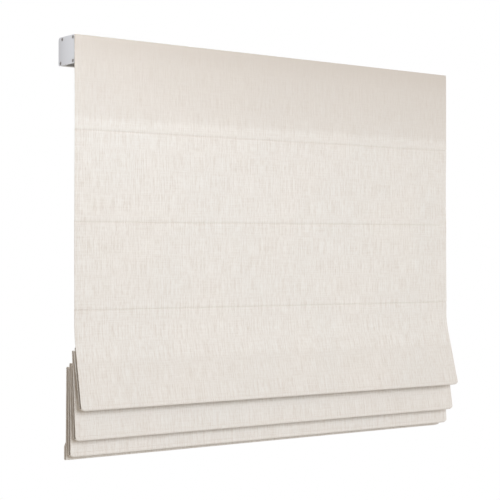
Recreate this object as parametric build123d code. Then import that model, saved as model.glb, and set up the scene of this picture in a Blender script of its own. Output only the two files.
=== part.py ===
from build123d import *
import math
import os

# A roman blind on a headrail, hung partly raised: flat above, three pleats stacked below.
# Frame: X along the width, Y towards the wall, Z up. The origin is the middle of the
# headrail's back face. Sizes are in millimetres.

# ---- overall sizes ---------------------------------------------------------------
BLIND_WIDTH = 900.0
RAIL_DEPTH = 55.0
RAIL_HEIGHT = 50.0
SECTION = 160.0  # cloth between two rod seams on the flat part
FLAT_SECTIONS = 3

# ---- headrail ---------------------------------------------------------------------
RAIL_WALL = 1.8
RAIL_BACK_TOP_RADIUS = 6.0
RAIL_BACK_LOW_RADIUS = 3.0
SLOT_FRONT_LIP = 7.0
SLOT_REAR_LIP = 12.0
GROOVE_FROM_FRONT = 12.0
GROOVE_WIDTH = 6.0
GROOVE_DEPTH = 3.0
CAP_THICKNESS = 3.0
CAP_PLUG_DEPTH = 6.0
CAP_PLUG_WALL = 2.0
PORT_RADIUS = 3.0
PORT_BORE = 1.4
PORT_FROM_WALL = 4.4
REAR_PORT_FROM_BACK = 13.0
LOW_REAR_PORT_FROM_BACK = 7.0
SCREW_HEAD_RADIUS = 2.8
SCREW_HEAD_HEIGHT = 1.6
SCREW_LENGTH = 14.0

# ---- wall brackets ----------------------------------------------------------------
BRACKET_INSET = 60.0  # from the rail's ends to the bracket's middle
BRACKET_WIDTH = 40.0
BRACKET_THICKNESS = 1.6
BRACKET_TAB = 24.0
BRACKET_HOLE_RADIUS = 2.25
BRACKET_HOLE_SPACING = 24.0
BRACKET_HOLE_BELOW_RAIL = 14.0
BRACKET_HOOK = 2.4
FIT = 0.3  # running or seating clearance

# ---- cloth, tapes and rods --------------------------------------------------------
CLOTH = 1.2  # face cloth and lining together
TAPE_THICKNESS = 1.2
TAPE_HEIGHT = 25.0
TAPE_BELOW_TOP = 3.0
TAPE_INSET = 3.0
ROD_RADIUS = 2.0
ROD_INSET = 5.0
SLEEVE_WALL = 0.5
SLEEVE_INSET = 4.0
ROD_SLACK = 0.1  # between a rod and its sleeve
FOLD_START = 40.0  # flat cloth below the last flat seam, before the first pleat swings out
FOLD_START_RADIUS = 150.0
LOOP_SLACK = 1.1  # spare room beside a front rod, because its loop's legs lean
TURN_RADIUS = 1.7
TURN_HALF_WIDTH = 2.0
# for each pleat: the front rod's place, then the back rod's, as the distance in front of
# (-) or behind (+) the flat cloth and the drop below the back rod of the row above
PLEATS = [
    {"front": (-27.0, 168.5), "back": (4.2, 67.0)},
    {"front": (-9.0, 154.5), "back": (12.5, 22.5)},
    {"front": (9.0, 161.5), "back": (23.0, 7.5)},
]
TAIL = 164.4  # from the last back rod down to the hem's fold
HEM_DEPTH = 5.5
HEM_HEIGHT = 30.0
HEM_RADIUS = 2.2
HEM_BEHIND_LAST_ROD = 2.5
HEM_BAR_THICKNESS = 3.0
HEM_BAR_HEIGHT = 20.0
HEM_BAR_EDGE = 0.75
HEM_BAR_INSET = 12.0
HEM_PLUG_LENGTH = 8.0

# ---- lift cords -------------------------------------------------------------------
CORD_RADIUS = 0.6
ARC_SHARE = 0.45  # of the shorter run, taken up by a corner's arc
CORD_INSET = 110.0  # outer cords, from the cloth's side edges
RING_RADIUS = 5.5
RING_WIRE = 1.1
CORD_AT_GUIDE_BEHIND = 4.0  # the guide lies this far behind the first ring
LOCK_RADIUS = 4.0
LOCK_HEIGHT = 12.0
LAST_RING_TO_CORD = -1.6  # the cord bears on the front of the lowest ring
LOCK_BELOW_LAST_ROD = 6.0
CORD_BELOW_RAIL = 2.0

# ---- drive ------------------------------------------------------------------------
SHAFT_FLATS = 6.0
SHAFT_PAST_CRADLE = 8.0
HEX_SLACK = 0.1
SPOOL_CORE = 11.0
SPOOL_FLANGE = 15.0
SPOOL_FLANGE_WALL = 2.0
SPOOL_WIDTH = 22.0
SPOOL_HUB = 5.0
SPOOL_HUB_PROUD = 1.0
HUB_RUNNING_GAP = 0.1
CRADLE_WALL = 2.5
CRADLE_HALF_DEPTH = 11.0
CRADLE_BASE = 2.4
CRADLE_FLANGE = 1.2
CRADLE_FLANGE_LAP = 2.0  # under the slot's front lip
GUIDE_BORE = 1.6
MOTOR_LENGTH = 200.0
MOTOR_RADIUS = 17.0
MOTOR_END = 6.0
MOTOR_END_STEP = 1.0
MOTOR_BORE = 4.3
SADDLE_SPREAD = 70.0  # each side of the motor's middle
SADDLE_WIDTH = 16.0
SADDLE_WALL = 2.5
DRIVE_HUB_RADIUS = 8.0
DRIVE_HUB_LENGTH = 10.0

# ---- places worked out from the sizes ---------------------------------------------
TOP_Z = RAIL_HEIGHT / 2
BOTTOM_Z = -RAIL_HEIGHT / 2
FRONT_Y = -RAIL_DEPTH
HALF = BLIND_WIDTH / 2
CLOTH_Y = FRONT_Y - 2 * TAPE_THICKNESS - CLOTH / 2
SLEEVE_RADIUS = ROD_RADIUS + ROD_SLACK + SLEEVE_WALL
ROD_TO_CLOTH = SLEEVE_RADIUS + FIT + CLOTH / 2
LOOP_HALF_WIDTH = ROD_TO_CLOTH + LOOP_SLACK
RING_REACH = SLEEVE_RADIUS + FIT + RING_RADIUS + RING_WIRE
SLOT_FRONT = FRONT_Y + SLOT_FRONT_LIP
SLOT_REAR = -SLOT_REAR_LIP
LIP_TOP = BOTTOM_Z + RAIL_WALL
CORD_Y = CLOTH_Y + ROD_TO_CLOTH + RING_REACH
GUIDE_Y = CORD_Y + CORD_AT_GUIDE_BEHIND
TURNS_RADIUS = SPOOL_CORE + 2 * CORD_RADIUS
AXIS_Y = GUIDE_Y + SPOOL_CORE + CORD_RADIUS
AXIS_Z = 0.0
CORD_X = [-(HALF - CORD_INSET), 0.0, HALF - CORD_INSET]
MOTOR_X = (CORD_X[1] + CORD_X[2]) / 2


def rod_places():
    """The nine rods' centres as (y, z), from the top seam to the lowest back rod."""
    places = []
    for seam in range(1, FLAT_SECTIONS + 1):
        places.append((CLOTH_Y + ROD_TO_CLOTH, TOP_Z - seam * SECTION))
    row_z = TOP_Z - FLAT_SECTIONS * SECTION
    for pleat in PLEATS:
        for name in ("front", "back"):
            forward, drop = pleat[name]
            places.append((CLOTH_Y + forward, row_z - drop))
        row_z = places[-1][1]
    return places


RODS = rod_places()
BACK_ROWS = list(range(1, len(RODS) + 1, 2))  # the rows with rings: 1, 3, 5, 7, 9
HEM_Y = RODS[-1][0] + HEM_BEHIND_LAST_ROD
HEM_Z = RODS[-1][1] - TAIL
parts = {}


def on_side(*places):
    """Points given as (y, z), for lines drawn on the YZ plane."""
    return [Vector(y, z) for y, z in places]


def along_x(face, start, end):
    """Extrude a face of the YZ plane from x = start to x = end."""
    return Pos(start, 0, 0) * extrude(Plane.YZ * face, amount=end - start)


def box_between(low, high):
    """A box given by its lowest and highest corners."""
    size = [b - a for a, b in zip(low, high)]
    middle = [(a + b) / 2 for a, b in zip(low, high)]
    return Pos(*middle) * Box(*size)


def disc_x(radius, start, end, y, z):
    """A round bar along X."""
    return along_x(Pos(y, z) * Circle(radius), start, end)


def hex_x(flats, start, end):
    """A hexagonal bar along X on the drive axis."""
    return along_x(Pos(AXIS_Y, AXIS_Z) * RegularPolygon(flats / 2, 6, major_radius=False), start, end)


def port_places():
    """The headrail's four screw ports as (y, z)."""
    front = FRONT_Y + PORT_FROM_WALL
    high = TOP_Z - PORT_FROM_WALL
    rear_ports = [(-REAR_PORT_FROM_BACK, high), (-LOW_REAR_PORT_FROM_BACK, -high)]
    return [(front, high), (front, -high)] + rear_ports


def rail_outline():
    """The headrail's outer section, with its two rounded back corners."""
    section = Pos(-RAIL_DEPTH / 2, 0) * Rectangle(RAIL_DEPTH, RAIL_HEIGHT)
    back = section.vertices().group_by(Axis.X)[-1].sort_by(Axis.Y)
    section = fillet(back[1], RAIL_BACK_TOP_RADIUS)
    low = section.vertices().group_by(Axis.Y)[0].sort_by(Axis.X)[-1]
    return fillet(low, RAIL_BACK_LOW_RADIUS)


# ---- headrail and its end caps ----------------------------------------------------
def headrail():
    outer = rail_outline()
    section = outer - offset(outer, amount=-RAIL_WALL)
    slot_middle = (SLOT_FRONT + SLOT_REAR) / 2
    section -= Pos(slot_middle, BOTTOM_Z) * Rectangle(SLOT_REAR - SLOT_FRONT, 3 * RAIL_WALL)
    groove_y = FRONT_Y + GROOVE_FROM_FRONT + GROOVE_WIDTH / 2
    pan = Pos(groove_y, TOP_Z - (GROOVE_DEPTH + RAIL_WALL) / 2)
    section += pan * Rectangle(GROOVE_WIDTH + 2 * RAIL_WALL, GROOVE_DEPTH + RAIL_WALL)
    section -= Pos(groove_y, TOP_Z - GROOVE_DEPTH / 2) * Rectangle(GROOVE_WIDTH, GROOVE_DEPTH)
    for y, z in port_places():
        section += Pos(y, z) * Circle(PORT_RADIUS)
    for y, z in port_places():
        section -= Pos(y, z) * Circle(PORT_BORE)
    end = HALF - CAP_THICKNESS
    return along_x(section, -end, end)


def end_cap(side):
    """A flat cap with a short hollow plug inside the rail and countersunk screw holes."""
    outside = side * HALF
    inside = side * (HALF - CAP_THICKNESS)
    low, high = sorted((outside, inside))
    cap = along_x(rail_outline(), low, high)
    front = FRONT_Y + GROOVE_FROM_FRONT + GROOVE_WIDTH + RAIL_WALL + FIT
    rear = -REAR_PORT_FROM_BACK - PORT_RADIUS - FIT
    reach = TOP_Z - RAIL_WALL - FIT
    depth = rear - front
    plug = Pos((front + rear) / 2, 0) * Rectangle(depth, 2 * reach)
    plug -= Pos((front + rear) / 2, 0) * Rectangle(depth - 2 * CAP_PLUG_WALL, 2 * (reach - CAP_PLUG_WALL))
    low, high = sorted((inside, inside - side * CAP_PLUG_DEPTH))
    cap += along_x(plug, low, high)
    for y, z in port_places():
        low, high = sorted((outside, inside))
        cap -= disc_x(PORT_BORE + FIT, low, high, y, z)
        low, high = sorted((outside, outside - side * SCREW_HEAD_HEIGHT))
        cap -= disc_x(SCREW_HEAD_RADIUS + FIT / 2, low, high, y, z)
    return cap


def cap_screws():
    screws = []
    for side in (-1, 1):
        for y, z in port_places():
            outside = side * HALF
            neck = side * (HALF - SCREW_HEAD_HEIGHT)
            tip = side * (HALF - SCREW_LENGTH)
            head = disc_x(SCREW_HEAD_RADIUS, *sorted((outside, neck)), y, z)
            shank = disc_x(PORT_BORE, *sorted((neck, tip)), y, z)
            screws.append(head + shank)
    return screws


parts["headrail"] = headrail()
parts["end_cap_left"] = end_cap(-1)
parts["end_cap_right"] = end_cap(1)
parts["end_cap_screws"] = cap_screws()


# ---- wall brackets: a hook over the top groove, a hook round the rear lip ---------
def bracket(x):
    t = BRACKET_THICKNESS
    groove_y = FRONT_Y + GROOVE_FROM_FRONT + GROOVE_WIDTH / 2
    low, high = x - BRACKET_WIDTH / 2, x + BRACKET_WIDTH / 2
    plate = box_between((low, 0, BOTTOM_Z - BRACKET_TAB), (high, t, TOP_Z + t))
    plate += box_between((low, groove_y - t / 2, TOP_Z), (high, t, TOP_Z + t))
    plate += box_between((low, groove_y - t / 2, TOP_Z - BRACKET_HOOK), (high, groove_y + t / 2, TOP_Z + t))
    clip_y = SLOT_REAR - FIT
    plate += box_between((low, clip_y - t, BOTTOM_Z - t), (high, t, BOTTOM_Z))
    plate += box_between((low, clip_y - t, BOTTOM_Z - t), (high, clip_y, BOTTOM_Z + BRACKET_HOOK))
    for side in (-1, 1):
        hole_x = x + side * BRACKET_HOLE_SPACING / 2
        hole = Rot(90, 0, 0) * Cylinder(BRACKET_HOLE_RADIUS, 4 * t)
        plate -= Pos(hole_x, t / 2, BOTTOM_Z - BRACKET_HOLE_BELOW_RAIL) * hole
    return plate


parts["bracket_left"] = bracket(-(HALF - BRACKET_INSET))
parts["bracket_right"] = bracket(HALF - BRACKET_INSET)


# ---- hook tape on the rail, loop tape on the cloth --------------------------------
def tape(back_y):
    high = TOP_Z - TAPE_BELOW_TOP
    low = (-HALF + TAPE_INSET, back_y - TAPE_THICKNESS, high - TAPE_HEIGHT)
    return box_between(low, (HALF - TAPE_INSET, back_y, high))


parts["hook_tape"] = tape(FRONT_Y)
parts["loop_tape"] = tape(FRONT_Y - TAPE_THICKNESS)


# ---- the cloth: one sheet, flat, then folded round the rods, hemmed at the foot ---
def cloth_route():
    """Corner points and corner radii of the cloth's middle line, from its top edge down."""
    points = [(CLOTH_Y, TOP_Z - CLOTH / 2), (CLOTH_Y, TOP_Z - FLAT_SECTIONS * SECTION - FOLD_START)]
    radii = [FOLD_START_RADIUS]
    for front, back in zip(RODS[FLAT_SECTIONS::2], RODS[FLAT_SECTIONS + 1 :: 2]):
        foot = front[1] - ROD_TO_CLOTH
        points += [(front[0] - LOOP_HALF_WIDTH, foot), (front[0] + LOOP_HALF_WIDTH, foot)]
        radii += [ROD_TO_CLOTH, ROD_TO_CLOTH]
        head = back[1] - ROD_TO_CLOTH
        points += [(back[0] - TURN_HALF_WIDTH, head), (back[0] + TURN_HALF_WIDTH, head)]
        radii += [TURN_RADIUS, TURN_RADIUS]
    points += [(HEM_Y, HEM_Z), (HEM_Y + HEM_DEPTH, HEM_Z), (HEM_Y + HEM_DEPTH, HEM_Z + HEM_HEIGHT)]
    radii += [HEM_RADIUS, HEM_RADIUS]
    return points, radii


def blind_cloth():
    points, radii = cloth_route()
    middle = FilletPolyline(*on_side(*points), radius=radii)
    print(f"cloth length along its middle line: {middle.length:.1f} mm")
    edge = offset(middle, amount=CLOTH / 2, side=Side.BOTH)
    return along_x(make_face(edge.edges()), -HALF, HALF)


parts["blind_cloth"] = blind_cloth()

# ---- rods in their sewn sleeves, and the rings on every back row ------------------
for row, (rod_y, rod_z) in enumerate(RODS, start=1):
    rod_end = HALF - ROD_INSET
    parts[f"rod_{row}"] = disc_x(ROD_RADIUS, -rod_end, rod_end, rod_y, rod_z)
    sleeve_end = HALF - SLEEVE_INSET
    sleeve = Circle(SLEEVE_RADIUS) - Circle(SLEEVE_RADIUS - SLEEVE_WALL)
    parts[f"rod_sleeve_{row}"] = along_x(Pos(rod_y, rod_z) * sleeve, -sleeve_end, sleeve_end)

for row in BACK_ROWS:
    rod_y, rod_z = RODS[row - 1]
    parts[f"cord_rings_{row}"] = [
        Pos(x, rod_y + RING_REACH, rod_z) * Torus(RING_RADIUS, RING_WIRE) for x in CORD_X
    ]


# ---- hem bar and its end plugs ----------------------------------------------------
def hem_bar():
    middle_y = HEM_Y + HEM_DEPTH / 2
    low_z = HEM_Z + CLOTH / 2 + HEM_RADIUS
    end = HALF - HEM_BAR_INSET
    low = (-end, middle_y - HEM_BAR_THICKNESS / 2, low_z)
    bar = box_between(low, (end, middle_y + HEM_BAR_THICKNESS / 2, low_z + HEM_BAR_HEIGHT))
    return fillet(bar.edges().filter_by(Axis.X), HEM_BAR_EDGE)


def hem_plug(side):
    """A cap pushed against the bar's end, as thick as the hem's pocket lets it be."""
    middle_y = HEM_Y + HEM_DEPTH / 2
    half_depth = (HEM_DEPTH - CLOTH) / 2 - FIT / 2
    low_z = HEM_Z + CLOTH / 2 + HEM_RADIUS
    inner = side * (HALF - HEM_BAR_INSET)
    x_low, x_high = sorted((inner, inner + side * HEM_PLUG_LENGTH))
    low = (x_low, middle_y - half_depth, low_z)
    plug = box_between(low, (x_high, middle_y + half_depth, low_z + HEM_BAR_HEIGHT))
    return fillet(plug.edges().filter_by(Axis.X), HEM_BAR_EDGE)


parts["hem_bar"] = hem_bar()
parts["hem_plug_left"] = hem_plug(-1)
parts["hem_plug_right"] = hem_plug(1)


# ---- lift cords: off the spool, through the guide and the rings, into the lock ----
def cord_route(x):
    """The cord's corner points and its corner radii, from the spool down to the lock."""
    off_spool = AXIS_Z - math.sqrt((TURNS_RADIUS + CORD_RADIUS) ** 2 - (SPOOL_CORE + CORD_RADIUS) ** 2)
    first, fifth, seventh, last = RODS[0], RODS[4], RODS[6], RODS[8]
    foot_y = last[0] + RING_REACH + LAST_RING_TO_CORD
    points = [
        (x, GUIDE_Y, off_spool - FIT),
        (x, GUIDE_Y, BOTTOM_Z - CORD_BELOW_RAIL),
        (x, CORD_Y, first[1]),
        (x, CORD_Y + 0.5, fifth[1] - 6.0),
        (x, seventh[0] + RING_REACH + 0.3, seventh[1] + 2.5),
        (x, foot_y, last[1] - 0.3),
        (x, foot_y, last[1] - LOCK_BELOW_LAST_ROD),
    ]
    radii = []
    for before, corner, after in zip(points, points[1:], points[2:]):
        come = Vector(*corner) - Vector(*before)
        go = Vector(*after) - Vector(*corner)
        half_turn = math.radians(come.get_angle(go)) / 2
        radii.append(ARC_SHARE * min(come.length, go.length) / math.tan(half_turn))
    return points, radii


def lift_cord(x):
    points, radii = cord_route(x)
    middle = FilletPolyline(*points, radius=radii)
    print("cord", x, "length", round(middle.length, 1), "radii", [round(r, 1) for r in radii])
    start = Plane(origin=middle @ 0, z_dir=middle % 0)
    return sweep(start * Circle(CORD_RADIUS), path=middle)


def cord_locks():
    """A small barrel at each cord's lower end, below the lowest ring."""
    locks = []
    for x in CORD_X:
        foot = Vector(*cord_route(x)[0][-1])
        barrel = Cylinder(LOCK_RADIUS, LOCK_HEIGHT, align=(Align.CENTER, Align.CENTER, Align.MAX))
        locks.append(Pos(foot.X, foot.Y, foot.Z) * fillet(barrel.edges(), CORD_RADIUS))
    return locks


SIDES = ["left", "middle", "right"]
for side_name, cord_x in zip(SIDES, CORD_X):
    parts[f"lift_cord_{side_name}"] = lift_cord(cord_x)
parts["cord_locks"] = cord_locks()


# ---- drive: shaft, spools, the wound cord, cradles and the motor ------------------
def drive_shaft():
    end = CORD_X[-1] + SPOOL_WIDTH / 2 + CRADLE_WALL + SHAFT_PAST_CRADLE
    return hex_x(SHAFT_FLATS, -end, end)


def spool(x):
    half = SPOOL_WIDTH / 2
    turn = disc_x(SPOOL_CORE, x - half, x + half, AXIS_Y, AXIS_Z)
    for start in (x - half, x + half - SPOOL_FLANGE_WALL):
        turn += disc_x(SPOOL_FLANGE, start, start + SPOOL_FLANGE_WALL, AXIS_Y, AXIS_Z)
    hub_end = half + FIT + CRADLE_WALL + SPOOL_HUB_PROUD
    turn += disc_x(SPOOL_HUB, x - hub_end, x + hub_end, AXIS_Y, AXIS_Z)
    return turn - hex_x(SHAFT_FLATS + HEX_SLACK, x - 2 * half, x + 2 * half)


def cord_turns(x):
    """The cord wound side by side on the spool, as one band."""
    half = SPOOL_WIDTH / 2 - SPOOL_FLANGE_WALL
    band = disc_x(TURNS_RADIUS, x - half, x + half, AXIS_Y, AXIS_Z)
    return band - disc_x(SPOOL_CORE, x - half, x + half, AXIS_Y, AXIS_Z)


def rail_base(x, half_width):
    """A foot clipped in the rail's bottom slot: a plate above the lips, a flange below."""
    port_edge = FRONT_Y + PORT_FROM_WALL + PORT_RADIUS
    low, high = x - half_width, x + half_width
    rear_edge = -(LOW_REAR_PORT_FROM_BACK + PORT_RADIUS + FIT)
    plate = box_between((low, port_edge + FIT, LIP_TOP), (high, rear_edge, LIP_TOP + CRADLE_BASE))
    plate += box_between((low, SLOT_FRONT + FIT, BOTTOM_Z), (high, SLOT_REAR - FIT, LIP_TOP))
    under = BOTTOM_Z - CRADLE_FLANGE
    plate += box_between((low, SLOT_FRONT - CRADLE_FLANGE_LAP, under), (high, SLOT_REAR - FIT, BOTTOM_Z))
    return plate


def spool_cradle(x):
    outside = SPOOL_WIDTH / 2 + FIT + CRADLE_WALL
    cradle = rail_base(x, outside)
    for side in (-1, 1):
        low, high = sorted((x + side * (outside - CRADLE_WALL), x + side * outside))
        cheek_low = (low, AXIS_Y - CRADLE_HALF_DEPTH, LIP_TOP)
        cradle += box_between(cheek_low, (high, AXIS_Y + CRADLE_HALF_DEPTH, AXIS_Z + CRADLE_HALF_DEPTH))
    cradle -= disc_x(SPOOL_HUB + HUB_RUNNING_GAP, x - 2 * outside, x + 2 * outside, AXIS_Y, AXIS_Z)
    return cradle - Pos(x, GUIDE_Y, BOTTOM_Z) * Cylinder(GUIDE_BORE, 6 * CRADLE_BASE)


def lift_motor():
    """The sealed tubular motor, hollow along its axis for the shaft."""
    half = MOTOR_LENGTH / 2
    low, high = MOTOR_X - half, MOTOR_X + half
    motor = disc_x(MOTOR_RADIUS - MOTOR_END_STEP, low, high, AXIS_Y, AXIS_Z)
    motor += disc_x(MOTOR_RADIUS, low + MOTOR_END, high - MOTOR_END, AXIS_Y, AXIS_Z)
    return motor - disc_x(MOTOR_BORE, low, high, AXIS_Y, AXIS_Z)


def motor_saddle(x):
    """A foot with a ring that grips the motor's tube."""
    low, high = x - SADDLE_WIDTH / 2, x + SADDLE_WIDTH / 2
    ring = Circle(MOTOR_RADIUS + SADDLE_WALL) + Pos(0, (LIP_TOP - AXIS_Z) / 2) * Rectangle(
        2 * CRADLE_HALF_DEPTH, AXIS_Z - LIP_TOP
    )
    saddle = rail_base(x, SADDLE_WIDTH / 2) + along_x(Pos(AXIS_Y, AXIS_Z) * ring, low, high)
    return saddle - disc_x(MOTOR_RADIUS, low, high, AXIS_Y, AXIS_Z)


def drive_hub():
    """The motor's output hub, which turns the shaft."""
    low = MOTOR_X - MOTOR_LENGTH / 2 - FIT - DRIVE_HUB_LENGTH
    hub = disc_x(DRIVE_HUB_RADIUS, low, low + DRIVE_HUB_LENGTH, AXIS_Y, AXIS_Z)
    return hub - hex_x(SHAFT_FLATS + HEX_SLACK, low, low + DRIVE_HUB_LENGTH)


parts["drive_shaft"] = drive_shaft()
for side_name, cord_x in zip(SIDES, CORD_X):
    parts[f"spool_{side_name}"] = spool(cord_x)
    parts[f"cord_turns_{side_name}"] = cord_turns(cord_x)
    parts[f"spool_cradle_{side_name}"] = spool_cradle(cord_x)
parts["lift_motor"] = lift_motor()
parts["motor_saddle_left"] = motor_saddle(MOTOR_X - SADDLE_SPREAD)
parts["motor_saddle_right"] = motor_saddle(MOTOR_X + SADDLE_SPREAD)
parts["drive_hub"] = drive_hub()

# ---- write one STEP file for each node --------------------------------------------
os.makedirs("parts", exist_ok=True)
for name, shape in parts.items():
    whole = Compound(children=shape) if isinstance(shape, list) else shape
    export_step(whole, f"parts/{name}.step")
print("rods", [(round(y, 1), round(z, 1)) for y, z in RODS])
print("hem", round(HEM_Y, 1), round(HEM_Z, 1), "axis", round(AXIS_Y, 1), "cord", round(CORD_Y, 1))
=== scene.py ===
# %% [markdown]
# # A linen roman blind, hung half raised
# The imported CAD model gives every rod, ring, screw and rail in its true place. This lesson dresses it: the
# plain CAD cloth is swapped for a sewn sheet of linen with its lining, seams, stitches and rod pockets, and
# every hard part gets a finish made of nodes. Lengths are in metres; MM turns a maker's millimetres into
# them.

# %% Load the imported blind
import bisect
import math
import random

import bmesh
import bpy
from mathutils import Matrix, Vector, noise
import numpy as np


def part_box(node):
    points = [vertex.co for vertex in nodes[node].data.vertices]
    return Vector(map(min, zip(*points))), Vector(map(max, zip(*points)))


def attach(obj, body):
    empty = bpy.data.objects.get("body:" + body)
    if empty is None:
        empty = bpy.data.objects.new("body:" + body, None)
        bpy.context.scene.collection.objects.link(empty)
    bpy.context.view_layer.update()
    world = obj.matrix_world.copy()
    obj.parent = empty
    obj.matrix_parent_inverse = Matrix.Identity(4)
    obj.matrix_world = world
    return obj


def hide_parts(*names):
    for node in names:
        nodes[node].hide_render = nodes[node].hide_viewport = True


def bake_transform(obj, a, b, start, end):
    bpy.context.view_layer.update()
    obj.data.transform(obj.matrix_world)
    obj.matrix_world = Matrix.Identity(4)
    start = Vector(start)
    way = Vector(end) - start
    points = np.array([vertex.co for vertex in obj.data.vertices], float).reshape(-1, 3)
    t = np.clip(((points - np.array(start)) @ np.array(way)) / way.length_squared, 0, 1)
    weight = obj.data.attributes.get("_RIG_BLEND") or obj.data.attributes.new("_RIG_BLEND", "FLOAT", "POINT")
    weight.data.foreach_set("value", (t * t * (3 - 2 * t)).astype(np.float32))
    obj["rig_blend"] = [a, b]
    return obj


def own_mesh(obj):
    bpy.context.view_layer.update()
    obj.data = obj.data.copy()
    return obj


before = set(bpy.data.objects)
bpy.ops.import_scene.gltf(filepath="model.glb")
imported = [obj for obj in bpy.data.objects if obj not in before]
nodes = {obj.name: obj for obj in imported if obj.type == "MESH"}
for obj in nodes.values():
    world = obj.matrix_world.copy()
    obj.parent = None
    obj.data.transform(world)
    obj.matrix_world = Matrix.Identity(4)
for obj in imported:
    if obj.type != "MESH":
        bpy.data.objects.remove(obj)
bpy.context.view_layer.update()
MM = 0.001

# %% [markdown]
# ## The viewer
# A blind is usually pictured from one side, so that its folds and the end of its headrail show. A long lens
# keeps the width lines calm. The camera is placed by the point it looks at, how far off it stands and two
# angles, because those are easier to adjust than a position and a rotation.

# %% Camera
AIM = Vector((-0.070, -0.058, -0.348))
VIEW_DISTANCE = 2.657
VIEW_FROM_LEFT = math.radians(36.93)
VIEW_FROM_BELOW = math.radians(0.57)
FOCAL_LENGTH = 100.9  # millimetres, as camera lenses are named


def sight_line():
    """The unit direction in which the camera looks."""
    level = math.cos(VIEW_FROM_BELOW)
    return Vector((
        math.sin(VIEW_FROM_LEFT) * level,
        math.cos(VIEW_FROM_LEFT) * level,
        math.sin(VIEW_FROM_BELOW),
    ))


camera = bpy.data.objects.new("camera", bpy.data.cameras.new("camera"))
camera.data.lens = FOCAL_LENGTH
camera.location = AIM - sight_line() * VIEW_DISTANCE
camera.rotation_euler = sight_line().to_track_quat("-Z", "Y").to_euler()
bpy.context.scene.collection.objects.link(camera)
bpy.context.scene.camera = camera
print("camera at", [round(c, 3) for c in camera.location])

# %% [markdown]
# ## Light
# Window cloth is shown in a bright, nearly shadowless studio. Most of the light is an even white room, made
# by the world and a little warm, so that the shade deep in a fold is brown and not grey. The lamps are
# slightly cool to make up for it. A large one, left of the middle and hardly higher than the blind, keeps
# the shade under each fold short. A weaker one fills in from the right, one lights the lining from behind,
# and a small narrow one lights the headrail's end. What the camera itself sees of the room is plain white
# paper, which is a second Background node.

# %% World and lamps
ROOM_LIGHT = 0.43
WARM_ROOM = (1.06, 0.940, 0.795)
COOL_LAMP = (0.935, 1.005, 1.090)
PAPER_WHITE = 1.0


def make_world():
    world = bpy.data.worlds.new("studio")
    world.use_nodes = True
    tree = world.node_tree
    room = tree.nodes["Background"]
    room.inputs["Color"].default_value = (*WARM_ROOM, 1)
    room.inputs["Strength"].default_value = ROOM_LIGHT
    paper = tree.nodes.new("ShaderNodeBackground")
    paper.inputs["Color"].default_value = (1, 1, 1, 1)
    paper.inputs["Strength"].default_value = PAPER_WHITE
    seen = tree.nodes.new("ShaderNodeLightPath")
    choose = tree.nodes.new("ShaderNodeMixShader")
    tree.links.new(seen.outputs["Is Camera Ray"], choose.inputs[0])
    tree.links.new(room.outputs[0], choose.inputs[1])
    tree.links.new(paper.outputs[0], choose.inputs[2])
    tree.links.new(choose.outputs[0], tree.nodes["World Output"].inputs["Surface"])
    bpy.context.scene.world = world


def soft_lamp(name, place, size, watts, aim=AIM, spread=math.pi):
    """A square lamp at place that faces a point, the middle of the blind unless told."""
    lamp = bpy.data.objects.new(name, bpy.data.lights.new(name, "AREA"))
    lamp.data.size = size
    lamp.data.energy = watts
    lamp.data.spread = spread
    lamp.data.color = COOL_LAMP
    lamp.location = place
    lamp.rotation_euler = (aim - Vector(place)).to_track_quat("-Z", "Y").to_euler()
    bpy.context.scene.collection.objects.link(lamp)


make_world()
rail_end = Vector((-0.45, -0.02, 0))
soft_lamp("key_lamp", (-0.75, -2.75, 0.25), size=1.3, watts=41.7)
soft_lamp("fill_lamp", (2.4, -1.9, 0.0), size=1.8, watts=16.5)
soft_lamp("back_lamp", (1.1, 2.8, 0.5), size=1.6, watts=48)
soft_lamp("end_lamp", (-1.35, -0.40, 0.35), size=0.25, watts=0.16, aim=rail_end, spread=math.radians(30))
bpy.context.scene.view_settings.view_transform = "Standard"

# %% [markdown]
# ## Shader maths
# Node materials are easier to read as sums. Value wraps a node's output, so that `1 - mask` or `slub * 0.4`
# adds the Math node itself. Finish holds one material; its node() method adds any node, with its settings
# first and then its sockets, and set() feeds the shader.


# %% Value and Finish
class Value:
    """A node's output. Python's operators on it add Math nodes."""

    def __init__(self, finish, socket):
        self.finish = finish
        self.socket = socket

    def maths(self, operation, first, second):
        return self.finish.node("ShaderNodeMath", {"operation": operation}, {0: first, 1: second})

    def __add__(self, other):
        return self.maths("ADD", self, other)

    def __radd__(self, other):
        return self.maths("ADD", other, self)

    def __sub__(self, other):
        return self.maths("SUBTRACT", self, other)

    def __rsub__(self, other):
        return self.maths("SUBTRACT", other, self)

    def __mul__(self, other):
        return self.maths("MULTIPLY", self, other)

    def __rmul__(self, other):
        return self.maths("MULTIPLY", other, self)


class Finish:
    """A material, and the means to add nodes to it."""

    def __init__(self, name, **constants):
        self.material = bpy.data.materials.new(name)
        self.material.use_nodes = True
        self.tree = self.material.node_tree
        shader = self.tree.nodes["Principled BSDF"]
        self.sockets = {socket.name.lower().replace(" ", "_"): socket for socket in shader.inputs}
        for key, value in constants.items():
            self.sockets[key].default_value = value

    def node(self, kind, settings, sockets, output=0):
        """Add a node. A ramp's stops are (position, grey or colour) pairs."""
        added = self.tree.nodes.new(kind)
        for key, value in settings.items():
            if key == "stops":
                self.set_stops(added.color_ramp, value)
            else:
                setattr(added, key, value)
        for key, value in sockets.items():
            self.feed(added.inputs[key], value)
        return Value(self, added.outputs[output])

    def set_stops(self, ramp, stops):
        for index, (position, color) in enumerate(stops):
            stop = ramp.elements[index] if index < 2 else ramp.elements.new(position)
            stop.position = position
            stop.color = (*color, 1) if isinstance(color, tuple) else (color, color, color, 1)

    def feed(self, socket, value):
        if isinstance(value, Value):
            self.tree.links.new(value.socket, socket)
        else:
            socket.default_value = value

    def set(self, **links):
        for key, value in links.items():
            self.feed(self.sockets[key], value)
        return self.material


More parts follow.
